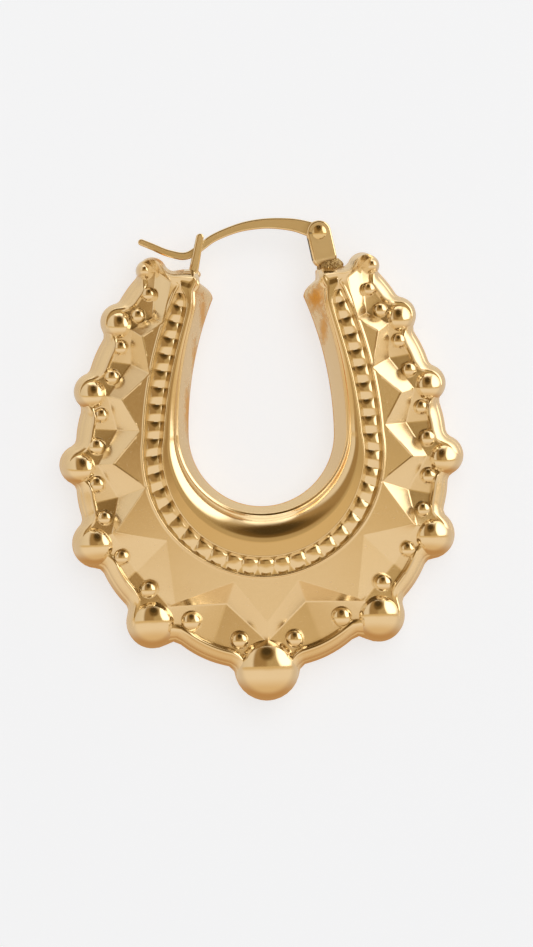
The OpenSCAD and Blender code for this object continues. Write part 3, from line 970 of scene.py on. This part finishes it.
def lump(x, y, size, turn, texture_mm, rough_mm):
    """A ball drawn out to a size and roughened by a cloud pattern."""
    bpy.ops.object.select_all(action="DESELECT")
    bpy.ops.mesh.primitive_ico_sphere_add(subdivisions=6, radius=1)
    ball = bpy.context.object
    ball.data.transform(Matrix.Diagonal((size[0] * mm, size[1] * mm, size[2] * mm, 1)))
    grit = bpy.data.textures.new("grit", "CLOUDS")
    grit.noise_scale = texture_mm * mm
    grit.noise_depth = 3
    push = ball.modifiers.new("push", "DISPLACE")
    push.texture = grit
    push.strength = rough_mm * mm
    push.mid_level = 0.55
    bpy.ops.object.modifier_apply(modifier=push.name)
    placed(ball, x, y, turn)
    return ball


crust = bpy.data.materials.new("unpolished_gold_solder")
crust.use_nodes = True
shader = crust.node_tree.nodes["Principled BSDF"]
shader.inputs["Metallic"].default_value = 1
place = add_node(crust.node_tree, "ShaderNodeTexCoord").outputs["Object"]
specks = add_node(crust.node_tree, "ShaderNodeTexVoronoi", {"Vector": place, "Scale": 1 / (speck_mm * mm)})
tones = add_node(crust.node_tree, "ShaderNodeMix",
                 {0: specks.outputs["Distance"], 6: linear(crust_light), 7: linear(crust_dark)},
                 data_type="RGBA")
crust.node_tree.links.new(tones.outputs[2], shader.inputs["Base Color"])
shader.inputs["Roughness"].default_value = 0.42
bump = add_node(crust.node_tree, "ShaderNodeBump",
                {"Height": specks.outputs["Distance"], "Strength": 1.0, "Distance": 0.09 * mm})
crust.node_tree.links.new(bump.outputs[0], shader.inputs["Normal"])
hinge_solder = lump(7.25, 19.1, (1.3, 0.85, 1.7), radians(14), 0.3, 0.4)
hinge_solder.name = "hinge_solder"
finished(hinge_solder, crust, 60)

# The catch. A thinner strip bent into a narrow U that the wire's tip drops into. Its foot is
# flooded with solder, and its ends were melted round in the torch flame.
catch_gap = 1.3
catch_slot_y = -1.1
catch_w = 0.66
catch_foot = -2.4
catch_top = 1.55
catch = round_topped(catch_w, catch_top, catch_foot, cheek_depth)
cut_from(catch, slot_block(catch_slot_y, 10, catch_gap))
bevelled(catch, 0.16, 4, 50, satin_gold, bright_gold)
# The foot spreads into the solder, and the prongs are a little uneven from the flame.
for vertex in catch.data.vertices:
    height = vertex.co.y / mm
    vertex.co.x *= (1 + 0.5 * max(0, -height - 1.3) ** 1.5) * (1 + 0.07 * cos(2.6 * height - 3))
catch.name = "catch"
placed(catch, -5.9, 21.2, radians(-12))
finished(catch, None, 60)
catch_solder = lump(-6.4, 18.75, (0.75, 0.5, 0.8), radians(-14), 0.4, 0.16)
catch_solder.name = "catch_solder"
finished(catch_solder, pressed_gold, 60)

# The rivet. A gold pin through both cheeks and the wire's eye, its two ends hammered into low
# domes, so it shows soft facets where the hammer fell.
rivet_gold = buffed_gold("hammered_yellow_gold", ("#f0d29c", "#eacb92"), 0.16, 0.03, 0.2)
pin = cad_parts["hinge_rivet"]
pin.data.materials.clear()
pin.data.materials.append(rivet_gold)

# The ear wire. Round gold wire hammered flat, wider towards the hinge, bent in a low arch and
# turned up at its tip. Its flat faces are brushed along it and its edges are burnished.
wire_thickness = 0.9
eye_radius = 1.0
eye_hole = 0.45
# Columns: x, y, width
wire_line = np.array([
    (-11.5, 22.0, 0.64), (-10.35, 21.5, 0.66), (-9.2, 20.97, 0.7), (-8.05, 20.62, 0.74), (-7.3, 20.52, 0.76),
    (-6.6, 20.7, 0.77), (-5.7, 21.28, 0.78), (-4.3, 22.25, 0.8), (-2.3, 23.05, 0.85), (-0.6, 23.44, 0.95),
    (1.4, 23.585, 1.05), (3.6, 23.39, 1.25), (5.2, 22.95, 1.45), (6.2, 22.56, 1.6)])


def through(points, count):
    """Points on the smooth curve through a list of points."""
    ends = np.vstack((2 * points[0] - points[1], points, 2 * points[-1] - points[-2]))
    curve = []
    for t in np.linspace(0, len(points) - 1.0001, count):
        i, s = int(t), t - int(t)
        a, b, c, d = ends[i:i + 4]
        curve.append(0.5 * (2 * b + (c - a) * s + (2 * a - 5 * b + 4 * c - d) * s ** 2
                            + (3 * b - a - 3 * c + d) * s ** 3))
    return np.array(curve)


middle_line = through(wire_line, 110)
ahead = np.gradient(middle_line[:, :2], axis=0)
ahead /= np.linalg.norm(ahead, axis=1)[:, None]
aside = np.column_stack((-ahead[:, 1], ahead[:, 0])) * 0.5 * middle_line[:, 2:]
upper, lower = (middle_line[:, :2] + side * aside for side in (1, -1))
upper, lower = (line[np.linalg.norm(line - rivet, axis=1) > eye_radius] for line in (upper, lower))
tip_angle = atan2(*aside[0][::-1])
tip = [middle_line[0, :2] + 0.5 * middle_line[0, 2] * np.array((cos(tip_angle + a), sin(tip_angle + a)))
       for a in np.linspace(0, pi, 11)[1:-1]]
first_turn, last_turn = (atan2(*(line[-1] - rivet)[::-1]) for line in (lower, upper))
if first_turn > last_turn:
    first_turn -= 2 * pi
eye = [rivet + eye_radius * np.array((cos(a), sin(a)))
       for a in np.linspace(first_turn, last_turn, 34)[1:-1]]
outline = np.vstack((lower, eye, upper[::-1], tip))

wire = plate(outline, wire_thickness)
cut_from(wire, rod(*rivet, eye_hole))
wire_gold = buffed_gold("brushed_yellow_gold", ("#f4dcae", "#eed3a0"), 0.38, 0.002, 0.12)
bevelled(wire, 0.15, 3, 60, wire_gold, bright_gold)
wire.name = "flattened_wire"
finished(wire, None, 40, "wire", "ear_wire")
